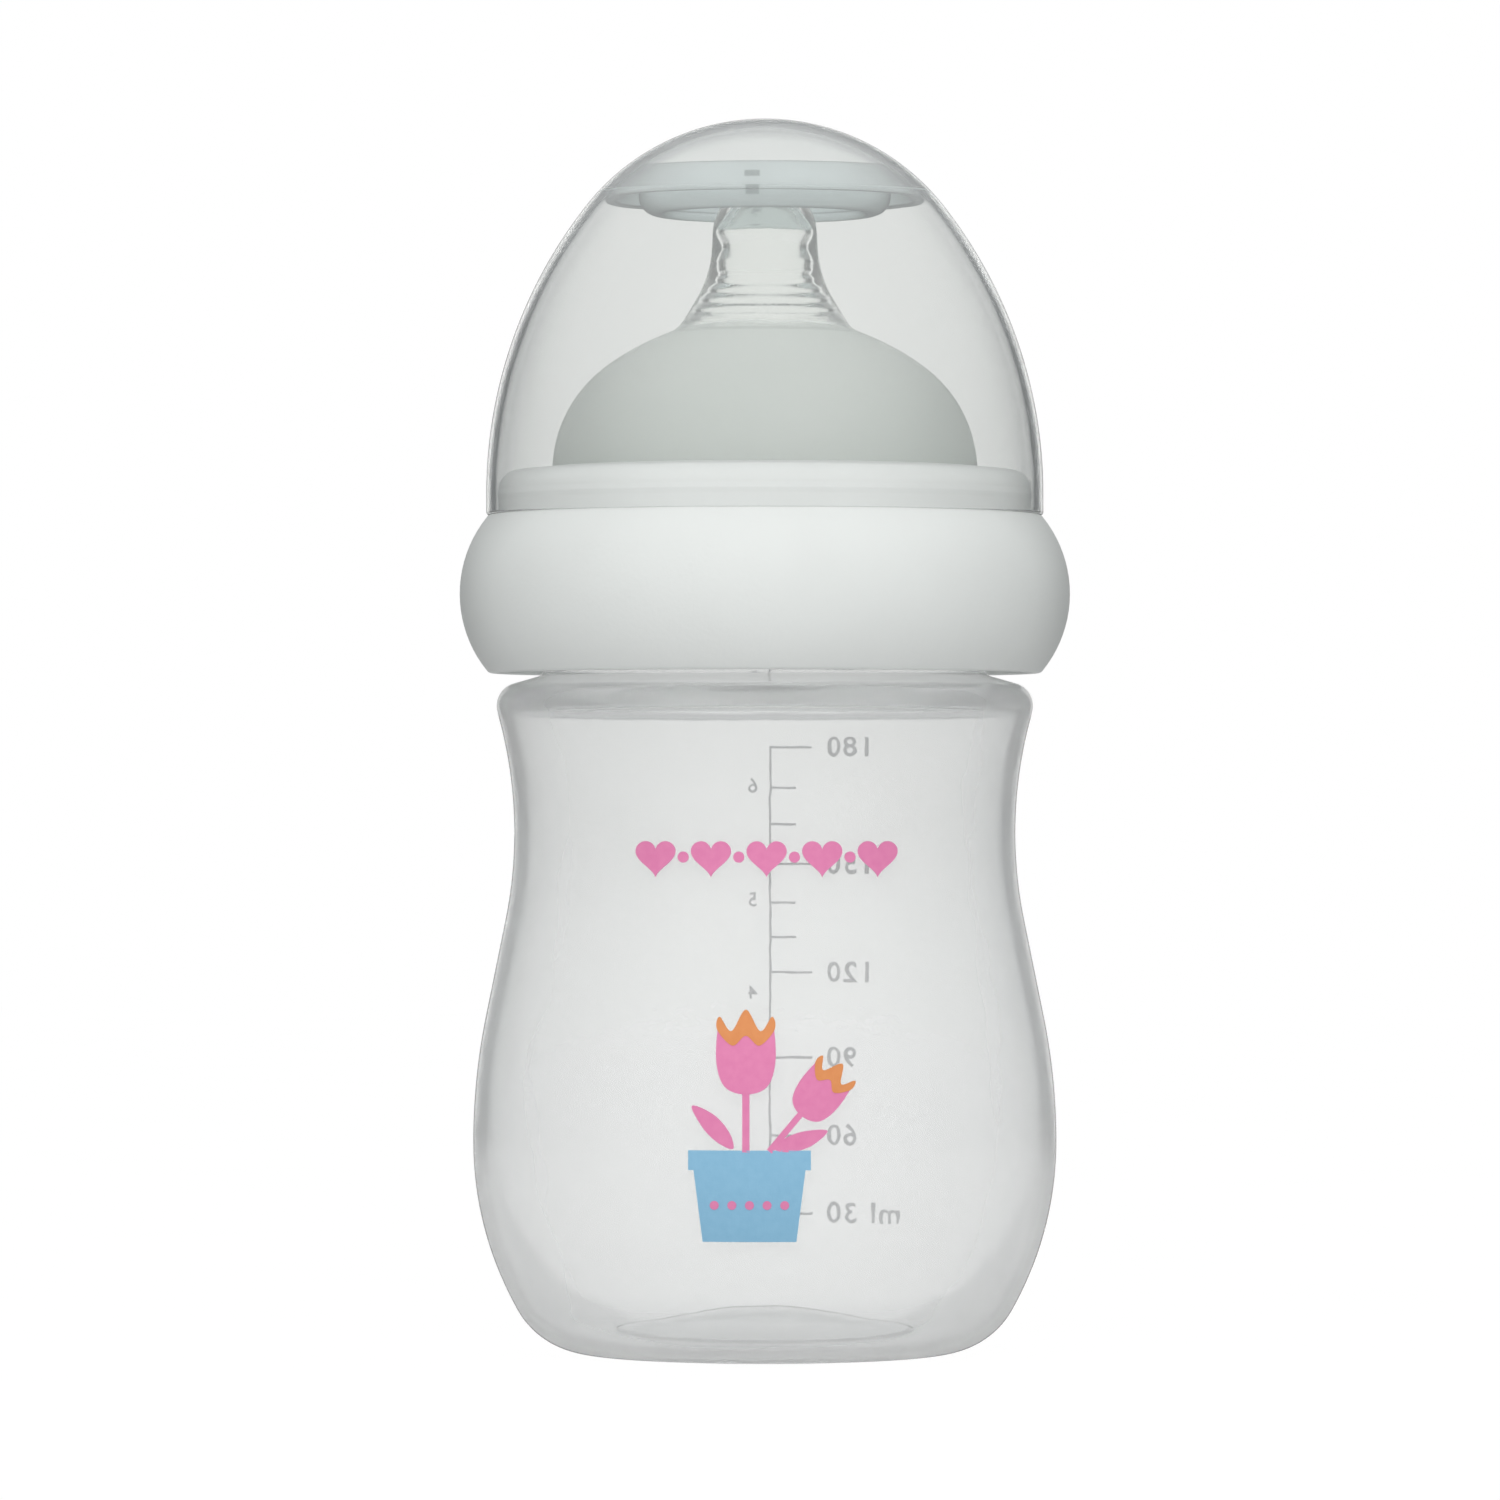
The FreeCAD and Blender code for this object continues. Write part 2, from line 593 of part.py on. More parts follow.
def make_cup():
    """Sealing cup: a flat-roofed cap wedged in the hood's crown, with a cup round the teat's tip."""
    body = new_body("hood_seal_cup")
    section = Section(body, "cup_section", [
        ("seal", 0, 134.7, 0),
        ("seal_side", 3.4, 134.7, 0),
        ("roof_in", 3.4, 135, 0),
        ("cup_in", 13.5, 135, 0),
        ("cup_rim", 13.5, 130.4, 0),
        ("cup_edge", 13.6, 130.4, -0.3),
        ("cup_side", 14.5, 131.3, 0),
        ("cap_in", 14.5, 134.5, 0.1),
        ("brim", 17.3, 132, 0),
        ("cap", 18.7, 132, -0.3),
        ("roof_edge", 14.4, 135.8, -0.1),
        ("roof", 13.9, 136, 0),
        ("axis", 0, 136, 0),
    ])
    section.join(smooth=("cup_rim", "cup_edge", "cap", "roof_edge"))
    section.level("seal", "roof_in", "cup_rim", "brim", "roof")
    section.upright("seal_side", "cup_in", "cup_side", "axis")
    section.on_axis("seal", "start")
    section.at("seal_side", "start", x="dims.seal_rad", y="dims.seal_z")
    section.at("roof_in", "start", y="dims.roof_z - dims.cup_wall")
    section.on_axis("cap", "centre")
    section.at("cap", "centre", y="dims.hood_top_z - dims.hood_crown_arc")
    section.radius("cap", "dims.hood_crown_arc - dims.hood_wall - dims.cup_gap")
    section.concentric(("cap_in", "cap"))
    section.radius("cap_in", "dims.hood_crown_arc - dims.hood_wall - dims.cup_gap - dims.cup_wall")
    section.radius("roof_edge", "dims.roof_round")
    section.at("axis", "start", y="dims.roof_z")
    section.at("cup_rim", "start", x="dims.cup_rad - dims.cup_wall", y="dims.cup_rim_z")
    section.radius("cup_edge", "dims.cup_round")
    section.at("cup_side", "start", x="dims.cup_rad")
    section.at("brim", "start", y="dims.cup_brim_z")
    turn(body, "cup_wall", section.make())
    return body


def check(bodies):
    """Refuses to go on if a feature failed or a piece isn't one sound solid."""
    for item in doc.Objects:
        if "Invalid" in item.State or "Error" in item.State:
            raise RuntimeError(f"{item.Name} failed: {item.State}")
    for body in bodies:
        shape = body.Shape
        if shape.isNull() or not shape.isValid() or len(shape.Solids) != 1:
            raise RuntimeError(f"{body.Label} isn't one valid solid")


def write_steps(bodies):
    os.makedirs("parts", exist_ok=True)
    for body in bodies:
        body.Shape.exportStep(f"parts/{body.Label}.step")
        print(f"{body.Label}: {body.Shape.Volume / 1000:.2f} cm3")


fill_sheet()
PIECES = [make_bottle(), make_nipple(), make_ring(), make_hood(), make_cup()]
doc.recompute()
check(PIECES)
write_steps(PIECES)
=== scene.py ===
import bmesh
import bpy
import math
import numpy as np
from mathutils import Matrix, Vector


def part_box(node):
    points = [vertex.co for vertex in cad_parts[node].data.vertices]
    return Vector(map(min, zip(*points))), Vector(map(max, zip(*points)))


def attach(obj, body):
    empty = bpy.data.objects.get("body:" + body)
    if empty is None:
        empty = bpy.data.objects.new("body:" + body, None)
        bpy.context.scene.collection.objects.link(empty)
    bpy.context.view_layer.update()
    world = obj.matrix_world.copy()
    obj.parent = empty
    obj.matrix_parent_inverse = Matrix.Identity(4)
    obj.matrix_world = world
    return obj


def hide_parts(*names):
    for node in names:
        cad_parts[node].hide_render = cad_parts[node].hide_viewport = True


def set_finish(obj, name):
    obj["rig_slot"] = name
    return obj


# A baby bottle with a wide neck, turned about Z. Outlines are in millimetres, +Z up, front at -Y.

MM = 0.001
FRONT = -math.pi / 2
BACK = math.pi / 2

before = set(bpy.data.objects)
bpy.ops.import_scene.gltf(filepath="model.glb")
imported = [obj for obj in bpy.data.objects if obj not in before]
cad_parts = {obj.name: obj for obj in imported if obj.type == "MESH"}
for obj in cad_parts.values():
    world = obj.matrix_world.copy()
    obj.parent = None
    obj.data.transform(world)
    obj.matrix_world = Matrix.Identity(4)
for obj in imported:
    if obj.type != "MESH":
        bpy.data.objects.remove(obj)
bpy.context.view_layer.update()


def cad_size(node):
    """The radius, foot and top of a CAD part by name, in mm."""
    low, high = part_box(node)
    sizes = {"radius": high.x, "foot": low.z, "top": high.z}
    return {name: round(size / MM, 2) for name, size in sizes.items()}


BOTTLE = cad_size("bottle_body")
RING = cad_size("screw_ring")
TEAT = cad_size("nipple")
HOOD = cad_size("hood")

WALL = 1.5
# the CAD mesh has no vertex where the ring is widest, so this radius isn't read from it
RING_RADIUS = 35.0
NECK_RADIUS = 25.4
NECK_BORE = 23.4
RING_BORE = 27.1
HOOD_WALL = 1.0
CROWN = 26.1

THREAD_PITCH = 4.5
THREAD_TURNS = 1.5
THREAD_ROOT = 2.4
THREAD_CREST = 1.2
THREAD_DEPTH = 1.35
THREAD_RUN_IN = 0.035


# ---------------------------------------------------------------- outlines

def outline(discs, run=1.0, bend=6.0):
    """Points of the way round a row of discs, along the straight lines that touch two of them.

    A disc is (radius from the axis, height, its own radius, way round it). The way is 1 with the
    material inside the curve and -1 with it outside, and a disc of no size is a sharp corner.
    """
    normals = []
    for (ax, az, a_size, a_way), (bx, bz, b_size, b_way) in zip(discs, discs[1:]):
        far = math.hypot(bx - ax, bz - az)
        lean = (b_way * b_size - a_way * a_size) / far
        normals.append(math.atan2(bz - az, bx - ax) + math.acos(max(-1.0, min(1.0, lean))))
    normals = [normals[0]] + normals + [normals[-1]]
    points = []
    for (x, z, size, way), arrive, leave in zip(discs, normals, normals[1:]):
        sweep = way * (leave - arrive) % (2 * math.pi)
        # nearly a full turn is no turn at all, less a rounding error
        if sweep > 1.8 * math.pi or size == 0:
            sweep = 0.0
        parts = max(1, math.ceil(sweep * size / run), math.ceil(math.degrees(sweep) / bend))
        for part in range(parts + 1 if sweep else 1):
            angle = arrive + way * sweep * part / parts
            points.append((x - way * size * math.cos(angle), z - way * size * math.sin(angle)))
    return thin_out(np.array(points))


def thin_out(points, least=0.004):
    """Drops points that lie on top of the one before."""
    step = np.hypot(*np.diff(points, axis=0).T)
    return points[np.concatenate(([True], step > least))]


def loop(discs, **how):
    """A closed outline, which starts and ends on the line from the last disc to the first."""
    points = outline(discs[-1:] + discs + discs[:1], **how)
    lead = outline([discs[-1], discs[0]], **how)
    first = int(np.argmin(np.hypot(*(points - lead[-1]).T)))
    last = len(points) - 1 - int(np.argmin(np.hypot(*(points[::-1] - lead[0]).T)))
    return points[first:last + 1]


def refine(points, low, high, step, closed=False):
    """Splits every edge between two heights into pieces no longer than step."""
    ends = np.vstack((points[1:], points[:1])) if closed else points[1:]
    fine = []
    for start, end in zip(points, ends):
        fine.append(start)
        inside = min(start[1], end[1]) < high and max(start[1], end[1]) > low
        parts = math.ceil(np.hypot(*(end - start)) / step) if inside else 1
        fine.extend(start + (end - start) * part / parts for part in range(1, parts))
    if not closed:
        fine.append(points[-1])
    return np.array(fine)


def angles_round(count, *dense):
    """Even angles round the axis, with finer ones near each (angle, half width, step) in dense."""
    full = 2 * math.pi
    angles = {round(full * index / count, 6) for index in range(count)}
    for centre, half, step in dense:
        steps = round(half / step)
        angles -= {angle for angle in angles if abs((angle - centre + math.pi) % full - math.pi) < half}
        angles |= {round((centre + step * index) % full, 6) for index in range(-steps, steps + 1)}
    return np.array(sorted(angles))


def rows_at(points, radius):
    """A column of which points of an outline lie on an upright wall of this radius."""
    return (np.abs(points[:, 0] - radius) < 0.01)[:, None]


# ---------------------------------------------------------------- meshes

def lathe(name, points, angles, closed=False, relief=None):
    """Turns an outline about Z. relief takes and returns the radius and height of every vertex."""
    radius, height = (np.repeat(column[:, None], len(angles), 1) for column in points.T)
    turn = np.repeat(angles[None, :], len(points), 0)
    if relief:
        radius, height = relief(radius.copy(), height.copy(), turn)
    place = np.stack((radius * np.cos(turn), radius * np.sin(turn), height), -1) * MM
    count = len(angles)
    rows = len(points)
    after = (np.arange(count) + 1) % count
    number = np.arange(rows * count).reshape(rows, count)
    faces = []
    lows = range(rows) if closed else range(1, rows - 2)
    for low in lows:
        high = (low + 1) % rows
        quads = (number[low], number[low][after], number[high][after], number[high])
        faces.extend(np.stack(quads, -1).tolist())
    vertices = place.reshape(-1, 3)
    if not closed:
        # the two ends lie on the axis, and each is a single vertex
        faces.extend((0, int(number[1][b]), int(number[1][a])) for a, b in enumerate(after))
        tip = int(number[-1][0])
        faces.extend((int(number[-2][a]), int(number[-2][b]), tip) for a, b in enumerate(after))
    return make_mesh(name, vertices, faces)


def make_mesh(name, vertices, faces, smooth=True):
    """A mesh object in the scene, without the vertices that no face uses."""
    mesh = bpy.data.meshes.new(name)
    mesh.from_pydata([tuple(vertex) for vertex in vertices], [], faces)
    work = bmesh.new()
    work.from_mesh(mesh)
    loose = [vertex for vertex in work.verts if not vertex.link_faces]
    bmesh.ops.delete(work, geom=loose, context="VERTS")
    work.to_mesh(mesh)
    work.free()
    mesh.polygons.foreach_set("use_smooth", [smooth] * len(mesh.polygons))
    mesh.update()
    item = bpy.data.objects.new(name, mesh)
    bpy.context.scene.collection.objects.link(item)
    return item


def add_boxes(item, boxes):
    """Adds plain boxes, each (low corner, high corner) in mm, to a piece's mesh."""
    work = bmesh.new()
    work.from_mesh(item.data)
    for low, high in boxes:
        low, high = Vector(low) * MM, Vector(high) * MM
        made = bmesh.ops.create_cube(work, size=1.0)["verts"]
        for vertex in made:
            share = vertex.co + Vector((0.5, 0.5, 0.5))
            vertex.co = [a + (b - a) * part for a, b, part in zip(low, high, share)]
    work.to_mesh(item.data)
    work.free()


def ridge(height, turn, start):
    """How far a screw ridge that starts at this height stands out of its wall at each vertex."""
    total = np.zeros_like(height)
    for lap in range(math.ceil(THREAD_TURNS)):
        turns = turn / (2 * math.pi) + lap
        away = np.abs(height - (start + THREAD_PITCH * turns))
        flank = np.clip((THREAD_ROOT / 2 - away) / ((THREAD_ROOT - THREAD_CREST) / 2), 0, 1)
        end = np.clip(np.minimum(turns, THREAD_TURNS - turns) / THREAD_RUN_IN, 0, 1)
        rise = flank * flank * (3 - 2 * flank) * np.sqrt(end)
        total = np.maximum(total, rise * THREAD_DEPTH)
    return total


# ---------------------------------------------------------------- bottle

# the corner at the base, the hips below and above their widest height, the waist and the shoulder
BOTTLE_SIDE = [
    (19.89, 9.7, 9.7, 1),
    (BOTTLE["radius"] - 39.2, 24.2, 39.2, 1),
    (BOTTLE["radius"] - 72.0, 24.2, 72.0, 1),
    (78.7, 59.6, 50.0, -1),
    (28.15, 74.2, 2.6, 1),
]
BASE_RISE = 3.8
BASE_DOME = (0, BASE_RISE - 42.2, 42.2, -1)


def wall_inside(discs, wall):
    """The same discs one wall further in, in the order of the way back."""
    return [(x, z, size - way * wall, -way) for x, z, size, way in reversed(discs)]


def make_bottle():
    """The bottle: an arched base, a waisted side and a neck with a screw ridge round it."""
    lip = 0.5
    neck = [
        (NECK_RADIUS + 0.8, 78.3, 0.8, -1),
        (NECK_RADIUS - lip, BOTTLE["top"] - lip, lip, 1),
        (NECK_BORE + lip, BOTTLE["top"] - lip, lip, 1),
        (NECK_BORE + 1.0, 77.46, 1.0, 1),
    ]
    discs = [(0, BASE_RISE, 0, 1), BASE_DOME, (17.6, 1.0, 1.0, 1)] + BOTTLE_SIDE + neck
    # the wall is thicker under the shoulder
    discs += [(28.27, 73.4, 0.7, -1)] + wall_inside(BOTTLE_SIDE[:-1], WALL)
    discs += [(17.4, 1.0 + WALL, 1.0, -1)] + wall_inside([BASE_DOME], WALL)
    discs += [(0, BASE_RISE + WALL, 0, 1)]
    points = refine(outline(discs, run=0.8, bend=3), 0, 78, 0.8)
    points = refine(points, 79.5, 93.5, 0.3)
    neck_rows = rows_at(points, NECK_RADIUS)
    bore_rows = rows_at(points, NECK_BORE)
    seam_foot = 6
    seam_top = 73
    seam_run_in = 4
    seam_height = 0.05
    seam_half = 0.4
    side_rows = np.arange(len(points)) < np.argmax(points[:, 1] > seam_top)
    side_rows = (side_rows & (points[:, 1] > seam_foot))[:, None]

    def relief(radius, height, turn):
        radius += ridge(height, turn, 82.4) * neck_rows
        # the mould's parting line runs up both sides
        across = np.abs(np.sin(turn)) * radius
        seam = np.clip(1 - across / seam_half, 0, 1)
        seam = seam * np.clip((height - seam_foot) / seam_run_in, 0, 1)
        radius += seam_height * seam * side_rows
        # the bore is a touch out of round
        radius -= 0.02 * np.sin(turn * 3) * bore_rows
        return radius, height

    angles = angles_round(180, (0, 0.024, 0.006), (math.pi, 0.024, 0.006))
    piece = lathe("bottle_wall", points, angles, relief=relief)
    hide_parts("bottle_body")
    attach(piece, "bottle")
    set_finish(piece, "bottle_plastic")
    return piece


def side_radius(height):
    """Outside radius of the bottle at a height between the base corner and the shoulder."""
    discs = [(19, 0, 0, 1)] + BOTTLE_SIDE + [(NECK_RADIUS, 77.7, 0, 1)]
    points = outline(discs, run=0.3, bend=1)
    return np.interp(height, points[:, 1], points[:, 0])


# ---------------------------------------------------------------- screw ring

def make_ring():
    """The screw ring: a round outer skirt, a collar for the hood and a sleeve with the thread."""
    edge = 0.3
    discs = [
        # the skirt's foot, its round side and its shoulder
        (30.85, RING["foot"] + 0.25, 0.25, 1),
        (31.264, 78.7, 0.8, 1),
        (RING_RADIUS - 14.0, 87.0, 14.0, 1),
        (31.56, 95.65, 0.35, 1),
        (30.85, 96.3, edge, -1),
        # the collar inside the hood, with a bead round it
        (30.95, 97.55, 0.4, -1),
        (30.08, 98.2, 0.6, 1),
        (30.95, 98.84, 0.4, -1),
        (28.35, 98.87, 2.2, 1),
        # the lip round the teat, down to the seat on its flange
        (25.15, RING["top"] - 0.4, 0.4, 1),
        (24.55, 99.6, 0.2, -1),
        (24.05, 99.1, edge, 1),
        (23.95, 97.8, 0.2, 1),
        # the sleeve, and the groove between it and the skirt
        (RING_BORE - edge, 97.3, edge, -1),
        (RING_BORE + edge, 78.8, edge, 1),
        (28.7, 78.8, edge, 1),
        (29.3, 92.2, edge, -1),
        (30.3, 92.2, edge, -1),
    ]
    points = refine(loop(discs), 77, 95, 1.6, closed=True)
    # the rows down the bore lie close together, for a smooth thread
    on_bore = rows_at(points, RING_BORE)[:, 0]
    bore_top = points[on_bore][:, 1].max()
    bore_foot = points[on_bore][:, 1].min()
    heights = np.linspace(bore_top, bore_foot, int((bore_top - bore_foot) / 0.28))
    bore = np.column_stack((np.full_like(heights, RING_BORE), heights))
    first = int(np.argmax(on_bore))
    points = np.vstack((points[:first], bore, points[first:][~on_bore[first:]]))
    bore_rows = rows_at(points, RING_BORE)

    def relief(radius, height, turn):
        radius -= ridge(height, turn, 80.6) * bore_rows
        return radius, height

    piece = lathe("ring_shell", points, angles_round(168), closed=True, relief=relief)
    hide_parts("screw_ring")
    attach(piece, "ring")
    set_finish(piece, "ring_plastic")
    return piece


# ---------------------------------------------------------------- teat

def make_teat():
    """The teat: a flange that seals the bottle, a wide dome and a hollow neck with a milk hole."""
    dome = [(9.5, 101.0, 14.9, 1), (0, 88.0, 31.0, 1)]
    dome_wall = 1.8
    neck = (18.75, 127.3, 12.7, -1)
    neck_wall = 1.3
    discs = [
        # the flange, and the groove above it for the ring
        (20.9, 95.45, 0.3, 1),
        (TEAT["radius"] - 0.5, 95.65, 0.5, 1),
        (TEAT["radius"] - 0.5, 97.05, 0.5, 1),
        (23.65, 97.8, 0.25, -1),
        (23.65, 99.4, 0.25, -1),
        (24.05, 100.0, 0.35, 1),
    ]
    discs += dome + [
        (11.93, 119.83, 3.0, -1),
        neck,
        # the tip, and the milk hole through it
        (0, 128.1, 6.0, 1),
        (0.45, 133.93, 0.15, 1),
        (0.45, 132.65, 0.15, 1),
        (0, 127.9, 4.4, -1),
        # two hollows inside the neck, each with a round ridge under it
        (3.75, 128.4, 1.1, -1),
        (5.5, 126.65, 1.2, 1),
        (3.75, 124.9, 1.05, -1),
        (6.2, 123.2, 1.5, 1),
    ]
    discs += wall_inside([neck], neck_wall) + wall_inside(dome, dome_wall)
    discs += [(22.1, 100.9, 0.5, -1), (21.0, 98.45, 0.4, 1)]
    points = refine(loop(discs), 95, 118, 1.4, closed=True)
    points = refine(points, 117.5, 125.5, 0.16, closed=True)
    points = refine(points, 125.5, 134, 0.4, closed=True)
    heights = points[:, 1]
    inside = np.arange(len(points)) > np.argmax(heights)
    rib_foot = 118.4
    rib_top = 124.0
    rib_pitch = 1.15
    rib_depth = 0.12
    rib_fade = 0.6
    rib_rows = (inside & (heights > rib_foot) & (heights < rib_top))[:, None]
    seal_rows = ((heights < 95.2) & (points[:, 0] > 22.4))[:, None]
    vent_half = 1.1
    vent_depth = 0.6

    def relief(radius, height, turn):
        # fine rings inside the foot of the neck
        fade = np.clip((height - rib_foot) / rib_fade, 0, 1)
        fade = fade * np.clip((rib_top - height) / rib_fade, 0, 1)
        radius -= rib_depth * fade * np.sin(2 * math.pi * height / rib_pitch) * rib_rows
        # an air vent on each side, across the sealing face
        across = np.abs(np.sin(turn)) * radius
        height += vent_depth * np.clip((vent_half - across) / 0.2, 0, 1) * seal_rows
        return radius, height

    angles = angles_round(168, (0, 0.06, 0.008), (math.pi, 0.06, 0.008))
    piece = lathe("teat_skin", points, angles, closed=True, relief=relief)
    # a flap hangs inside the bottle's mouth at each vent
    flap_half = 1.6
    flaps = []
    for near, far in ((22.42, 22.88), (-22.88, -22.42)):
        flaps.append(((near, -flap_half, TEAT["foot"]), (far, flap_half, 95.4)))
    add_boxes(piece, flaps)
    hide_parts("nipple")
    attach(piece, "nipple")
    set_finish(piece, "teat_silicone")
    return piece


# ---------------------------------------------------------------- hood and its sealing cup

def make_hood():
    """The hood: one thin wall, with a round crown and a side that is nearly upright at its edge."""
    crown = (0, HOOD["top"] - CROWN, CROWN, 1)
    side = (HOOD["radius"] - 53.4, 98.5, 53.4, 1)
    edge = 0.3
    outer = (HOOD["radius"] - edge, HOOD["foot"] + edge, edge, 1)
    inner = (HOOD["radius"] - HOOD_WALL + edge, HOOD["foot"] + edge, edge, 1)
    discs = [(0, HOOD["top"] - HOOD_WALL, 0, 1)] + wall_inside([side, crown], HOOD_WALL)
    discs += [inner, outer, side, crown, (0, HOOD["top"], 0, 1)]
    points = refine(outline(discs, run=0.6, bend=2), 96, 100, 0.6)
    piece = lathe("hood_shell", points, angles_round(192))
    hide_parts("hood")
    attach(piece, "hood")
    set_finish(piece, "hood_plastic")
    return piece


def make_cup():
    """The sealing cup: a flat roof, a curled wall under it and a brim that follows the crown."""
    middle = HOOD["top"] - CROWN
    brim = CROWN - HOOD_WALL - 0.08
    roof = 135.3
    discs = [
        # the roof from below, the curled wall round the teat's tip, and the brim from below
        (0, 134.4, 0, 1),
        (12.9, 133.8, 0.6, -1),
        (12.4, 132.5, 1.1, -1),
        (12.1, 130.9, 0.5, 1),
        (12.4, 132.5, 2.1, 1),
        (15.0, 133.74, 0.5, -1),
        (0, middle, brim - 1.0, -1),
        # the brim's edge and the top
        (17.52, 132.3, 0.3, 1),
        (18.16, 132.3, 0.3, 1),
        (0, middle, brim, 1),
        (15.02, roof - 0.8, 0.8, 1),
        (0, roof, 0, 1),
    ]
    points = refine(outline(discs, run=0.6), 130, 135.2, 0.5)
    piece = lathe("seal_cup", points, angles_round(168))
    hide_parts("hood_seal_cup")
    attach(piece, "hood")
    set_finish(piece, "cup_plastic")
    return piece


# ---------------------------------------------------------------- prints

def flat_face(shape):
    """A bmesh with one face per closed outline, in the plane of x and height, in mm."""
    work = bmesh.new()
    for points in shape:
        work.faces.new([work.verts.new((x, z, 0)) for x, z in points])
    return work


FIGURE_SHARE = 0.63


def flat_text(text, high, x, z, align="CENTER"):
    """A bmesh of plain figures of this height, with their middle at height z, in mm."""
    curve = bpy.data.curves.new("figures", "FONT")
    curve.body = text
    # a figure takes up this share of the font's size
    curve.size = high / FIGURE_SHARE
    curve.align_x = align
    curve.offset = 0.02 * high
    curve.space_character = 1.15
    curve.resolution_u = 3
    item = bpy.data.objects.new("figures", curve)
    bpy.context.scene.collection.objects.link(item)
    bpy.context.view_layer.update()
    work = bmesh.new()
    work.from_mesh(item.to_mesh())
    item.to_mesh_clear()
    bpy.data.objects.remove(item)
    bmesh.ops.remove_doubles(work, verts=work.verts, dist=1e-5)
    bmesh.ops.translate(work, verts=work.verts, vec=(x, z - high / 2, 0))
    return work


def cut_up(work, step):
    """Cuts flat faces along an even grid, so that they can follow a curved wall."""
    for axis in (0, 1):
        places = [vertex.co[axis] for vertex in work.verts]
        low, high = math.floor(min(places) / step), math.ceil(max(places) / step)
        normal = (1, 0, 0) if axis == 0 else (0, 1, 0)
        for index in range(low + 1, high):
            point = tuple(index * step * way for way in normal)
            parts = work.verts[:] + work.edges[:] + work.faces[:]
            bmesh.ops.bisect_plane(work, geom=parts, plane_co=point, plane_no=normal, dist=1e-5)


def print_on_bottle(name, works, side, ink, proud=0.06, sunk=0.04, step=0.9):
    """Lays flat shapes round the bottle's wall as one thin closed layer of ink.

    side is the angle the print is centred on. x runs to the right for somebody who faces it.
    """
    vertices = []
    faces = []
    for work in works:
        cut_up(work, step)
        bmesh.ops.recalc_face_normals(work, faces=work.faces)
        flipped = [face for face in work.faces if face.normal.z < 0]
        bmesh.ops.reverse_faces(work, faces=flipped)
        work.verts.index_update()
        first = len(vertices)
        count = len(work.verts)
        for depth in (proud, -sunk):
            for vertex in work.verts:
                x, z, _ = vertex.co
                wall = float(side_radius(z))
                angle = side + math.asin(x / wall)
                radius = wall + depth
                place = (radius * math.cos(angle), radius * math.sin(angle), z)
                vertices.append([part * MM for part in place])
        for face in work.faces:
            numbers = [first + vertex.index for vertex in face.verts]
            faces.append(numbers)
            faces.append([number + count for number in reversed(numbers)])
        # a narrow band joins the two layers along every outside edge
        for edge in work.edges:
            if len(edge.link_faces) == 1:
                for corner in edge.link_faces[0].loops:
                    if corner.edge == edge:
                        a = first + corner.vert.index
                        b = first + corner.link_loop_next.vert.index
                        faces.append([b, a, a + count, b + count])
        work.free()
    piece = make_mesh(name, vertices, faces, smooth=False)
    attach(piece, "bottle")
    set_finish(piece, ink)
    return piece


def bar(x0, z0, x1, z1):
    """An upright rectangle between two corners."""
    return [(x0, z0), (x1, z0), (x1, z1), (x0, z1)]


def circle(x, z, radius, count=28):
    """A circle's outline."""
    angles = [2 * math.pi * index / count for index in range(count)]
    return [(x + radius * math.cos(angle), z + radius * math.sin(angle)) for angle in angles]


def heart(x, z, wide, count=44):
    """A plain heart, its point down, by the usual heart curve, which is 32 units wide."""
    unit = wide / 32
    points = []
    for index in range(count):
        t = 2 * math.pi * (index + 0.5) / count
        across = 16 * math.sin(t) ** 3
        up = 13 * math.cos(t) - 5 * math.cos(2 * t) - 2 * math.cos(3 * t) - math.cos(4 * t)
        points.append((x - across * unit, z + up * unit))
    return points


def placed(points, x, z, lean=0.0, size=1.0):
    """Scales an outline, leans it to the right by lean degrees and moves its origin to (x, z)."""
    c = math.cos(math.radians(lean))
    s = math.sin(math.radians(lean))
    return [(x + size * (a * c + b * s), z + size * (b * c - a * s)) for a, b in points]


def curve_through(corners, parts=6):
    """A smooth closed outline through corners, as a Catmull-Rom curve."""
    points = []
    count = len(corners)
    for index in range(count):
        p = [np.array(corners[(index + shift) % count], float) for shift in (-1, 0, 1, 2)]
        for part in range(parts):
            t = part / parts
            a = 2 * p[1] + (p[2] - p[0]) * t
            b = (2 * p[0] - 5 * p[1] + 4 * p[2] - p[3]) * t * t
            c = (3 * p[1] - p[0] - 3 * p[2] + p[3]) * t ** 3
            points.append(tuple((a + b + c) / 2))
    return points


# fill marks: how much milk, and the height of its mark
MILLILITRES = {
    30: 14.3, 60: 23.6, 90: 32.9, 120: 43.0, 130: 47.2, 140: 51.2,
    150: 55.8, 160: 60.5, 170: 64.8, 180: 69.7,
}
OUNCES = {4: 40.6, 5: 51.5, 6: 65.1}


def make_scale():
    """The fill scale on the back: an upright line with ticks, between millilitres and ounces."""
    line_x = -0.65
    half = 0.14
    long_tick = 5.1
    short_tick = 3.1
    millilitres_x = -7.5
    ounces_x = 1.45
    large = 2.2
    small = 1.5
    foot = min(MILLILITRES.values()) - half
    top = max(MILLILITRES.values()) + half
    marks = [bar(line_x - half, foot, line_x + half, top)]
    works = []
    for amount, height in MILLILITRES.items():
        has_figures = amount % 30 == 0
        reach = long_tick if has_figures else short_tick
        marks.append(bar(line_x - reach, height - half, line_x - half, height + half))
        if has_figures:
            text = f"ml {amount}" if amount == 30 else str(amount)
            works.append(flat_text(text, large, millilitres_x, height, align="RIGHT"))
    for amount, height in OUNCES.items():
        works.append(flat_text(str(amount), small, ounces_x, height))
    works.append(flat_face(marks))
    return [print_on_bottle("scale_print", works, BACK, "ink_grey")]


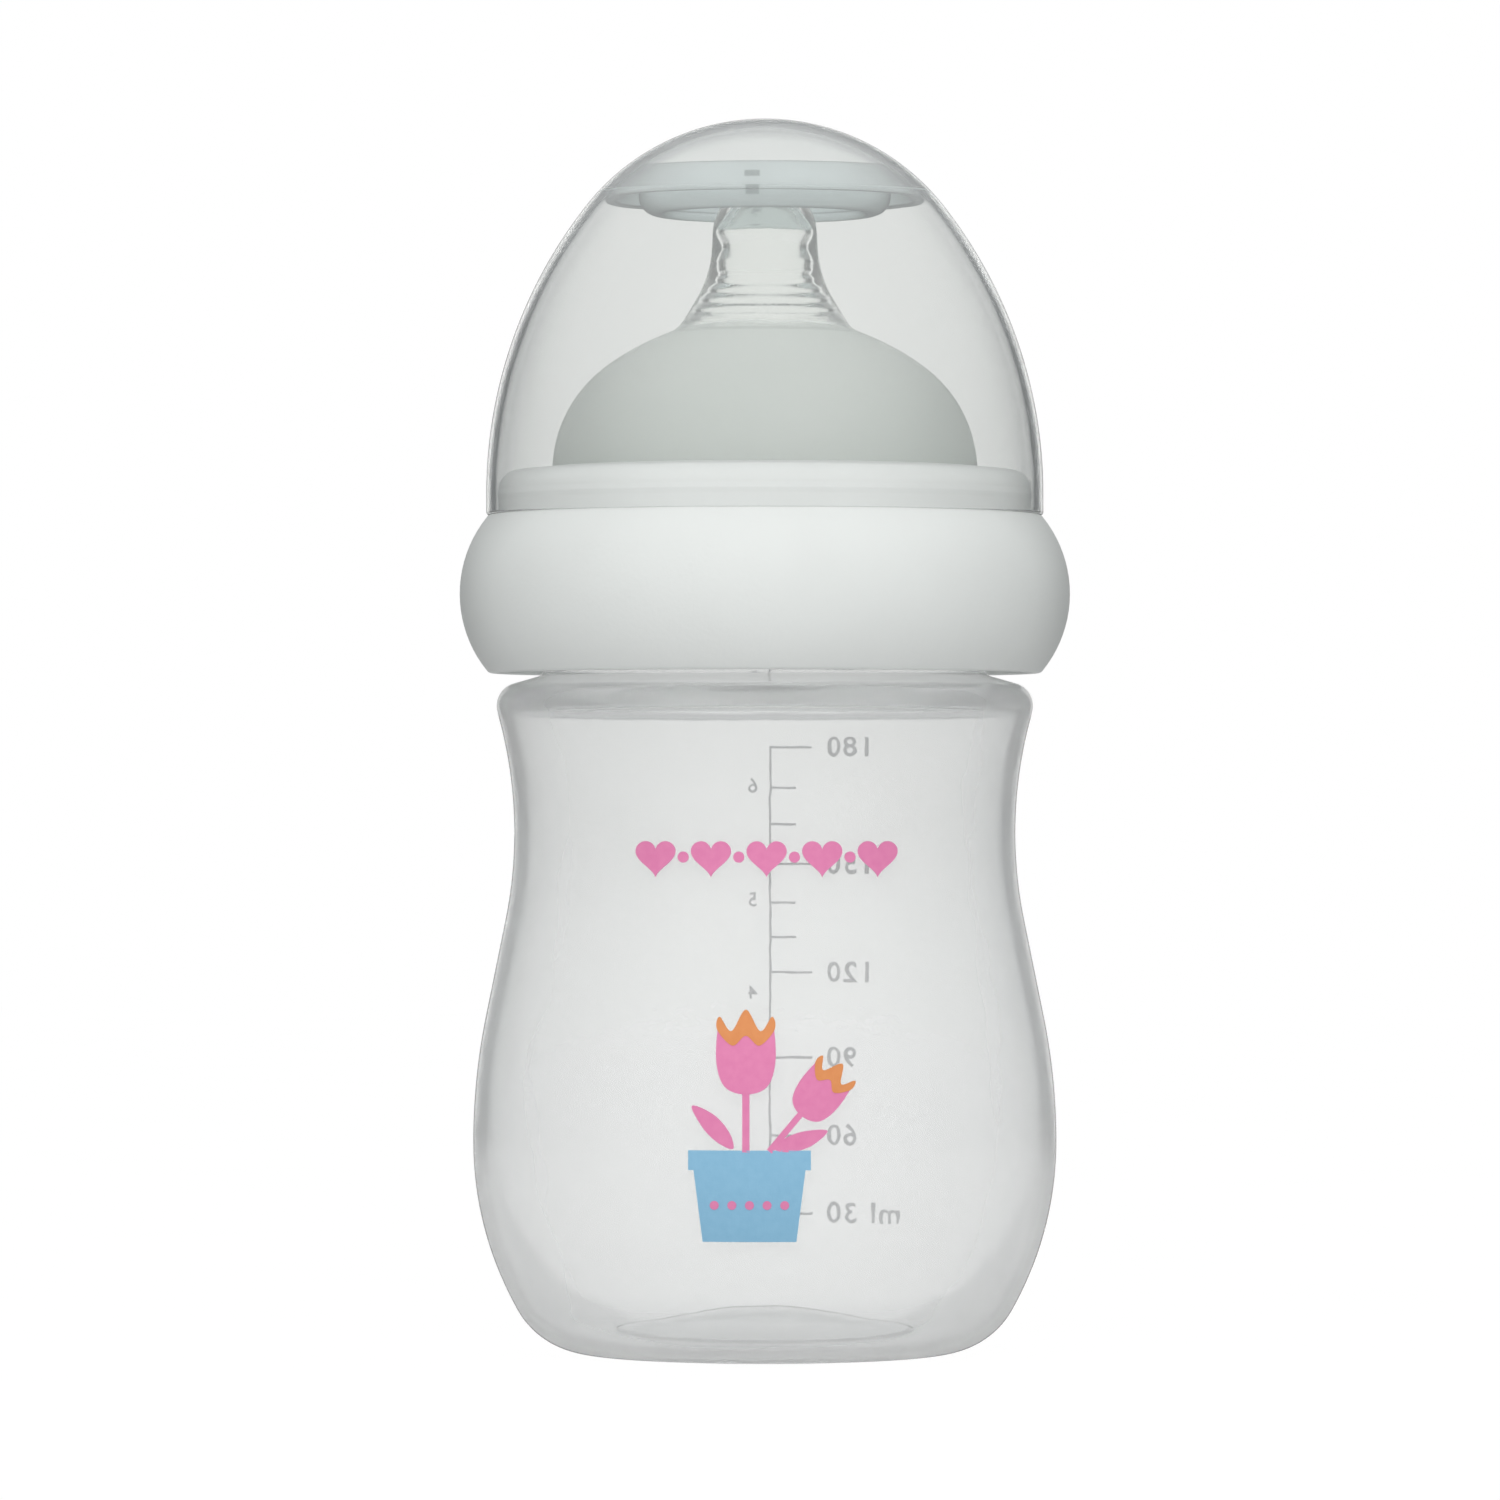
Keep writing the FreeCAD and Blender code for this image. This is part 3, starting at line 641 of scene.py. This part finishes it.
def make_front_print():
    """Plain decoration on the front: a row of hearts and dots, and tulips in a pot."""
    apart = 6.2
    first_heart = -12.2
    first_dot = first_heart + apart / 2
    hearts = [heart(first_heart + apart * index, 57.1, 4.5) for index in range(5)]
    hearts += [circle(first_dot + apart * index, 57.0, 0.62) for index in range(4)]
    petal = [
        (0, 0), (2.4, 0.9), (3.3, 3.9), (2.9, 8.0), (1.6, 6.1), (0, 8.4),
        (-1.6, 6.1), (-2.9, 8.0), (-3.3, 3.9), (-2.4, 0.9),
    ]
    tip = [
        (0, 6.5), (1.5, 5.4), (3.2, 7.2), (2.9, 8.6), (1.6, 7.0), (0, 9.4),
        (-1.6, 7.0), (-2.9, 8.6), (-3.2, 7.2), (-1.5, 5.4),
    ]
    leaf = [(0, 0), (1.0, 1.6), (1.2, 4.2), (0.2, 6.6), (-0.7, 4.0), (-0.7, 1.6)]
    upright = {"x": -2.1, "z": 30.7}
    leaning = {"x": 4.1, "z": 28.3, "lean": 38, "size": 0.78}
    flowers = [
        placed(curve_through(petal), **upright),
        placed(curve_through(petal), **leaning),
        placed(curve_through(leaf), -3.5, 24.7, lean=-46),
        placed(curve_through(leaf), 1.0, 24.7, lean=70, size=0.95),
        bar(-2.5, 24.3, -1.7, 31.2),
        placed(bar(-0.35, 0, 0.35, 5.6), 0.5, 24.4, lean=40),
    ]
    tips = [placed(curve_through(tip), **where) for where in (upright, leaning)]
    pot = [
        [(-7.9, 22.3), (-6.9, 14.3), (3.5, 14.3), (4.5, 22.3)],
        bar(-8.5, 22.3, 5.1, 24.5),
    ]
    band = [circle(-5.6 + 1.95 * index, 18.4, 0.5, 16) for index in range(5)]
    return [
        print_on_bottle("heart_print", [flat_face(hearts)], FRONT, "ink_pink"),
        print_on_bottle("tulip_print", [flat_face(flowers)], FRONT, "ink_pink"),
        print_on_bottle("tulip_tip_print", [flat_face(tips)], FRONT, "ink_orange", proud=0.10),
        print_on_bottle("pot_print", [flat_face(pot)], FRONT, "ink_blue"),
        print_on_bottle("pot_dot_print", [flat_face(band)], FRONT, "ink_pink", proud=0.10),
    ]


# ---------------------------------------------------------------- materials

class Nodes:
    """The node tree of a new material or of a world, with short ways to add and link nodes."""

    def __init__(self, name, world=None):
        self.owner = world or bpy.data.materials.new(name)
        self.owner.use_nodes = True
        self.tree = self.owner.node_tree
        self.tree.nodes.clear()
        self.place = self.add("ShaderNodeTexCoord").outputs["Object"]

    def add(self, kind, **values):
        """Adds a node. Each value goes to the node's property or its socket of that name."""
        node = self.tree.nodes.new(kind)
        for key, value in values.items():
            if hasattr(node, key):
                setattr(node, key, value)
            else:
                self.put(node.inputs[key.replace("_", " ")], value)
        return node

    def put(self, socket, value):
        """Links a node's output to a socket, or sets the socket's value."""
        if isinstance(value, bpy.types.NodeSocket):
            self.tree.links.new(value, socket)
        else:
            socket.default_value = value

    def noise(self, scale, detail):
        """Noise of 0 to 1; scale is features in a metre."""
        node = self.add("ShaderNodeTexNoise", Vector=self.place, Scale=scale, Detail=detail)
        return node.outputs["Fac"]

    def span(self, value, low, high, to_low=0.0, to_high=1.0, smooth=False):
        """Maps low..high to to_low..to_high, held at the ends."""
        node = self.add("ShaderNodeMapRange", clamp=True)
        node.interpolation_type = "SMOOTHSTEP" if smooth else "LINEAR"
        for socket, part in zip(node.inputs, (value, low, high, to_low, to_high)):
            self.put(socket, part)
        return node.outputs[0]

    def uneven(self, noise, low, high):
        """Spreads noise, which lies mostly between 0.3 and 0.7, over low to high."""
        return self.span(noise, 0.3, 0.7, low, high)

    def maths(self, operation, *values):
        """Works with numbers, or with vectors where the operation's name starts with VECTOR_."""
        kind = "ShaderNodeVectorMath" if operation.startswith("VECTOR") else "ShaderNodeMath"
        node = self.add(kind, operation=operation.removeprefix("VECTOR_"))
        for socket, value in zip(node.inputs, values):
            self.put(socket, value)
        return node.outputs["Value" if operation == "VECTOR_LENGTH" else 0]

    def slant(self):
        """0 where the surface is seen face on, and 1 where it is seen edge on."""
        return self.add("ShaderNodeLayerWeight", Blend=0.5).outputs["Facing"]

    def height(self):
        """The height on the object, in metres."""
        return self.add("ShaderNodeSeparateXYZ", Vector=self.place).outputs["Z"]

    def patch(self, middle, half, soft):
        """1 in a box round middle and 0 outside it, in metres; None leaves that way open."""
        parts = self.add("ShaderNodeSeparateXYZ", Vector=self.place).outputs
        inside = 1.0
        for part, centre, reach in zip(parts, middle, half):
            if centre is None:
                continue
            away = self.maths("ABSOLUTE", self.maths("SUBTRACT", part, centre))
            inside = self.maths("MULTIPLY", inside, self.span(away, reach, reach + soft, 1.0, 0.0))
        return inside

    def colours(self, share, first, second):
        """A blend of two colours, each a socket or three numbers."""
        node = self.add("ShaderNodeMix", data_type="RGBA")
        self.put(node.inputs[0], share)
        for socket, colour in zip(node.inputs[6:8], (first, second)):
            self.put(socket, (*colour, 1) if isinstance(colour, tuple) else colour)
        return node.outputs[2]

    def bump(self, height, distance):
        """A normal for a surface whose height of 0 to 1 stands for distance, in metres."""
        node = self.add("ShaderNodeBump", Strength=1.0, Distance=distance, Height=height)
        return node.outputs[0]

    def mix(self, share, first, second):
        """A blend of two shaders."""
        node = self.add("ShaderNodeMixShader")
        self.put(node.inputs[0], share)
        self.put(node.inputs[1], first)
        self.put(node.inputs[2], second)
        return node.outputs[0]

    def finish(self, shader):
        """Gives the material its surface, and returns the material."""
        output = self.add("ShaderNodeOutputMaterial")
        self.put(output.inputs["Surface"], shader)
        return self.owner


def clear_shader(nodes, colour, roughness, bump, ior=1.36):
    """A clear plastic that lamps shine through."""
    glass = nodes.add("ShaderNodeBsdfPrincipled", Roughness=roughness, IOR=ior, Normal=bump)
    nodes.put(glass.inputs["Base Color"], colour)
    nodes.put(glass.inputs["Transmission Weight"], 1.0)
    return glass.outputs[0]


def rim_dark(nodes, colour, dark, start=0.90, top=1.0):
    """The plastic's colour with painted shade where it is seen edge on, in place of the dark outline
    that clear plastic shows there; up to the height top in metres.
    """
    below = nodes.span(nodes.height(), top - 0.002, top, 1.0, 0.0)
    edge = nodes.maths("MULTIPLY", nodes.span(nodes.slant(), start, 0.98, smooth=True), below)
    return nodes.colours(edge, colour, (dark, dark * 1.01, dark * 1.02))


def haze_shader(nodes, colour, bump):
    """Light scattered in the plastic: half of it comes back and half goes on."""
    back = nodes.add("ShaderNodeBsdfDiffuse", Color=colour, Normal=bump).outputs[0]
    on = nodes.add("ShaderNodeBsdfTranslucent", Color=colour, Normal=bump).outputs[0]
    return nodes.mix(0.5, back, on)


def haze_share(nodes, share):
    """More light is scattered where the plastic is seen at a slant."""
    slant = nodes.slant()
    facing = nodes.span(slant, 0.0, 0.75, 1.0, 0.45)
    scattered = nodes.maths("MINIMUM", nodes.maths("DIVIDE", share, facing), 1.0)
    # painted shade: near the outline the haze takes over, and with it the darkened haze colour
    edge = nodes.span(slant, 0.87, 0.985, 0.0, 0.85, smooth=True)
    return nodes.maths("MAXIMUM", scattered, edge)


def let_lamps_in(nodes, shader, tint):
    """Lamps shine straight through the plastic, and lose a little light."""
    path = nodes.add("ShaderNodeLightPath")
    passing = nodes.add("ShaderNodeBsdfTransparent", Color=(tint, tint, tint, 1)).outputs[0]
    return nodes.mix(path.outputs["Is Shadow Ray"], shader, passing)


def bottle_plastic():
    """Clear moulded plastic with a faint haze."""
    nodes = Nodes("bottle_plastic")
    cloud = nodes.noise(60, 4)
    grain = nodes.noise(1400, 2)
    colour = nodes.colours(cloud, (0.955, 0.96, 0.955), (0.975, 0.975, 0.97))
    haze_colour = nodes.colours(cloud, (0.80, 0.81, 0.815), (0.84, 0.845, 0.845))
    roughness = nodes.uneven(grain, 0.008, 0.022)
    bump = nodes.bump(nodes.noise(260, 2), 0.000015)
    clear = clear_shader(nodes, colour, roughness, bump)
    # painted shade: the haze goes dark where the wall is seen edge on, below the shoulder, for the dark
    # outlines
    haze = haze_shader(nodes, rim_dark(nodes, haze_colour, 0.03, top=0.0745), bump)
    share = haze_share(nodes, nodes.uneven(cloud, 0.18, 0.21))
    return nodes.finish(let_lamps_in(nodes, nodes.mix(share, clear, haze), 0.9))


def hood_plastic():
    """Clear, smooth plastic with hardly any haze."""
    nodes = Nodes("hood_plastic")
    cloud = nodes.noise(45, 3)
    colour = nodes.colours(cloud, (0.905, 0.915, 0.91), (0.92, 0.925, 0.92))
    roughness = nodes.uneven(nodes.noise(900, 2), 0.0, 0.02)
    bump = nodes.bump(nodes.noise(120, 2), 0.000012)
    clear = clear_shader(nodes, colour, roughness, bump)
    # painted shade: the haze goes dark where the hood is seen edge on, for its dark outline
    haze = haze_shader(nodes, rim_dark(nodes, (0.85, 0.86, 0.86), 0.05), bump)
    share = haze_share(nodes, nodes.uneven(cloud, 0.035, 0.045))
    return nodes.finish(let_lamps_in(nodes, nodes.mix(share, clear, haze), 0.98))


def ring_plastic():
    """White plastic that lets a little light through, with a fine satin grain."""
    nodes = Nodes("ring_plastic")
    cloud = nodes.noise(80, 4)
    skirt = nodes.colours(cloud, (0.84, 0.86, 0.85), (0.88, 0.895, 0.885))
    # painted light: the collar, which sits under the hood, is painted paler than the skirt though both
    # are one plastic; and painted shade darkens both where they are seen edge on
    collar = nodes.span(nodes.height(), 0.0958, 0.0964)
    pale = nodes.colours(collar, skirt, (0.965, 0.975, 0.97))
    edge = nodes.span(nodes.slant(), 0.55, 0.98, 0.0, 0.30)
    colour = nodes.colours(edge, pale, (0.42, 0.43, 0.43))
    bump = nodes.bump(nodes.noise(1800, 3), 0.00003)
    body = nodes.add("ShaderNodeBsdfPrincipled", Roughness=0.42, IOR=1.46, Normal=bump)
    nodes.put(body.inputs["Base Color"], colour)
    glow = nodes.add("ShaderNodeBsdfTranslucent", Color=colour, Normal=bump).outputs[0]
    share = nodes.uneven(cloud, 0.28, 0.34)
    return nodes.finish(nodes.mix(share, body.outputs[0], glow))


def teat_silicone():
    """Silicone: a frosted dome that ends in an uneven edge, and a clear neck above it."""
    nodes = Nodes("teat_silicone")
    height = nodes.height()
    cloud = nodes.noise(90, 4)
    edge = nodes.uneven(nodes.noise(250, 2), -0.0002, 0.0002)
    frosted = nodes.span(nodes.maths("ADD", height, edge), 0.1169, 0.1181, 1.0, 0.0, smooth=True)
    bump = nodes.bump(nodes.noise(3000, 2), 0.00002)
    clear = clear_shader(nodes, (0.99, 0.995, 0.985, 1), 0.01, bump, ior=1.16)
    colour = nodes.colours(cloud, (0.90, 0.925, 0.90), (0.94, 0.95, 0.935))
    matt = clear_shader(nodes, colour, 0.42, bump, ior=1.41)
    milky = nodes.colours(cloud, (0.65, 0.68, 0.66), (0.70, 0.725, 0.705))
    # the dome's haze is paler higher up
    thin = nodes.span(height, 0.107, 0.1165, smooth=True)
    haze = haze_shader(nodes, nodes.colours(thin, milky, (0.79, 0.81, 0.79)), bump)
    # painted shade: the neck's haze goes dark where it is seen edge on, for the dark lines down the
    # neck
    dark = haze_shader(nodes, rim_dark(nodes, milky, 0.02, start=0.84), bump)
    dome = nodes.mix(nodes.uneven(cloud, 0.30, 0.36), matt, haze)
    neck = nodes.mix(haze_share(nodes, 0.03), clear, dark)
    return nodes.finish(let_lamps_in(nodes, nodes.mix(frosted, neck, dome), 0.9))


def cup_plastic():
    """Milky plastic with two faint marks on it."""
    nodes = Nodes("cup_plastic")
    cloud = nodes.noise(120, 3)
    colour = nodes.colours(cloud, (0.92, 0.935, 0.93), (0.95, 0.955, 0.95))
    # two short dashes, one over the other, at the front and at the back
    upper = nodes.patch((-0.0014, None, 0.1338), (0.00075, None, 0.00025), 0.0002)
    lower = nodes.patch((-0.0014, None, 0.1321), (0.00065, None, 0.00025), 0.0002)
    marked = nodes.maths("MAXIMUM", upper, lower)
    bump = nodes.bump(nodes.noise(900, 2), 0.00003)
    clear = clear_shader(nodes, colour, 0.16, bump)
    milky = nodes.colours(marked, (0.71, 0.75, 0.75), (0.45, 0.48, 0.48))
    # painted shade: the cup darkens from a slant on, towards its sides and brim
    haze = haze_shader(nodes, rim_dark(nodes, milky, 0.35, start=0.4), bump)
    share = haze_share(nodes, nodes.uneven(cloud, 0.76, 0.82))
    return nodes.finish(let_lamps_in(nodes, nodes.mix(share, clear, haze), 0.9))


def ink(name, first, second):
    """Screen-printed ink: slightly uneven in tone, with a fine grain."""
    nodes = Nodes(name)
    colour = nodes.colours(nodes.noise(1100, 4), first, second)
    bump = nodes.bump(nodes.noise(4000, 2), 0.00001)
    layer = nodes.add("ShaderNodeBsdfPrincipled", Roughness=0.5, Normal=bump)
    nodes.put(layer.inputs["Base Color"], colour)
    return nodes.finish(layer.outputs[0])


def paint(pieces):
    """Gives every piece the material that its slot names."""
    finishes = {
        "bottle_plastic": bottle_plastic(),
        "teat_silicone": teat_silicone(),
        "ring_plastic": ring_plastic(),
        "hood_plastic": hood_plastic(),
        "cup_plastic": cup_plastic(),
        "ink_grey": ink("ink_grey", (0.19, 0.19, 0.20), (0.26, 0.26, 0.27)),
        "ink_pink": ink("ink_pink", (0.64, 0.17, 0.36), (0.72, 0.23, 0.42)),
        "ink_orange": ink("ink_orange", (0.62, 0.22, 0.07), (0.70, 0.28, 0.10)),
        "ink_blue": ink("ink_blue", (0.20, 0.42, 0.60), (0.25, 0.48, 0.66)),
    }
    for piece in pieces:
        piece.data.materials.append(finishes[piece["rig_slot"]])


# ---------------------------------------------------------------- stage

TENT_GREY = 0.15


def tent_level(nodes, way):
    """How bright the light tent is in a direction.

    It is pale overhead, towards the camera and in a low strip straight behind, and grey elsewhere.
    """
    parts = nodes.add("ShaderNodeSeparateXYZ", Vector=way).outputs
    above = nodes.span(parts["Z"], 0.1, 0.85, 0.0, 0.60, smooth=True)
    ahead = nodes.span(parts["Y"], -0.1, -0.9, 0.0, 0.55, smooth=True)
    level = nodes.span(nodes.maths("ADD", above, ahead), 0.0, 0.8, TENT_GREY, 1.0)
    across = nodes.span(nodes.maths("ABSOLUTE", parts["X"]), 0.26, 0.36, 0.90, 0.0, smooth=True)
    behind = nodes.span(parts["Y"], 0.0, 0.3)
    low = nodes.span(parts["Z"], 0.18, 0.34, 1.0, 0.0, smooth=True)
    strip = nodes.maths("MULTIPLY", nodes.maths("MULTIPLY", across, behind), low)
    return nodes.maths("MAXIMUM", level, strip)


def floor_white():
    """A floor that shines by itself like the light tent round it, and is white to look at."""
    nodes = Nodes("floor_white")
    colour = nodes.colours(nodes.noise(30, 3), (0.99, 0.99, 0.99), (1, 1, 1))
    matt = nodes.add("ShaderNodeBsdfDiffuse", Color=(0.02, 0.02, 0.02, 1))
    # the tent as seen from a point 5 cm up the bottle
    out = nodes.maths("VECTOR_SUBTRACT", nodes.place, (0, 0, 0.05))
    tent = tent_level(nodes, nodes.maths("VECTOR_NORMALIZE", out))
    # a bright pool in front of the bottle, and a little shade under it
    from_pool = nodes.maths("VECTOR_LENGTH", nodes.maths("VECTOR_ADD", nodes.place, (0, 0.12, 0)))
    pool = nodes.span(from_pool, 0.04, 0.90, 0.72, TENT_GREY)
    from_axis = nodes.maths("VECTOR_LENGTH", nodes.place)
    shade = nodes.span(from_axis, 0.01, 0.08, 0.72, 1.0, smooth=True)
    lit = nodes.maths("MULTIPLY", nodes.maths("MAXIMUM", tent, pool), shade)
    seen = nodes.add("ShaderNodeLightPath").outputs["Is Camera Ray"]
    power = nodes.span(seen, 0.0, 1.0, lit, 0.99)
    shine = nodes.add("ShaderNodeEmission", Color=colour, Strength=power)
    total = nodes.add("ShaderNodeAddShader")
    nodes.put(total.inputs[0], matt.outputs[0])
    nodes.put(total.inputs[1], shine.outputs[0])
    return nodes.finish(total.outputs[0])


def make_floor():
    """A flat floor, a hair under the bottle."""
    half = 1.6
    gap = 0.00005
    corners = [(half * x, half * y, -gap) for x, y in ((-1, -1), (1, -1), (1, 1), (-1, 1))]
    floor = make_mesh("floor", corners, [(0, 1, 2, 3)])
    floor.data.materials.append(floor_white())


def add_light(name, place, aim, size, power):
    """A round soft lamp at a place, turned towards its aim; places are in metres."""
    lamp = bpy.data.lights.new(name, "AREA")
    lamp.shape = "DISK"
    lamp.size = size
    lamp.energy = power
    item = bpy.data.objects.new(name, lamp)
    item.location = place
    item.rotation_euler = (Vector(aim) - Vector(place)).to_track_quat("-Z", "Y").to_euler()
    # a tent hides the lamp itself, so that nothing mirrors it
    item.visible_glossy = False
    item.visible_transmission = False
    bpy.context.scene.collection.objects.link(item)


def tent_light(world):
    """The light tent round the stage, which is plain white to look at."""
    nodes = Nodes("studio", world)
    level = tent_level(nodes, nodes.add("ShaderNodeTexCoord").outputs["Generated"])
    tint = nodes.colours(level, (0.92, 0.98, 1.0), (1.0, 1.0, 0.985))
    tent = nodes.add("ShaderNodeBackground", Color=tint, Strength=level).outputs[0]
    white = nodes.add("ShaderNodeBackground", Color=(1, 1, 1, 1), Strength=1.0).outputs[0]
    seen = nodes.add("ShaderNodeLightPath").outputs["Is Camera Ray"]
    output = nodes.add("ShaderNodeOutputWorld")
    nodes.put(output.inputs["Surface"], nodes.mix(seen, tent, white))


def light_scene():
    """The light tent, a lamp above the camera, and bounces enough for one wall behind another."""
    scene = bpy.context.scene
    world = bpy.data.worlds.new("studio")
    tent_light(world)
    scene.world = world
    add_light("key", (-0.02, -0.95, 0.75), (0, 0, 0.08), 0.7, 6.4)
    scene.view_settings.view_transform = "Standard"
    scene.view_settings.look = "None"
    # light crosses many clear surfaces on its way through the hood, the cup and the teat
    clear_bounces = 28
    scene.cycles.max_bounces = clear_bounces
    scene.cycles.transmission_bounces = clear_bounces
    scene.cycles.transparent_max_bounces = clear_bounces
    scene.cycles.glossy_bounces = 8
    scene.cycles.diffuse_bounces = 6


def add_camera():
    """A long lens about a metre in front, a little under the bottle's middle, as in the photo."""
    place = Vector((0, -0.985, 0.0634))
    aim = Vector((-0.0017, 0, 0.0691))
    data = bpy.data.cameras.new("camera")
    data.sensor_width = 36
    data.lens = 206
    camera = bpy.data.objects.new("camera", data)
    camera.location = place
    camera.rotation_euler = (aim - place).to_track_quat("-Z", "Y").to_euler()
    bpy.context.scene.collection.objects.link(camera)
    bpy.context.scene.camera = camera


pieces = [make_bottle(), make_ring(), make_teat(), make_hood(), make_cup()]
pieces += make_scale() + make_front_print()
paint(pieces)
make_floor()
light_scene()
add_camera()
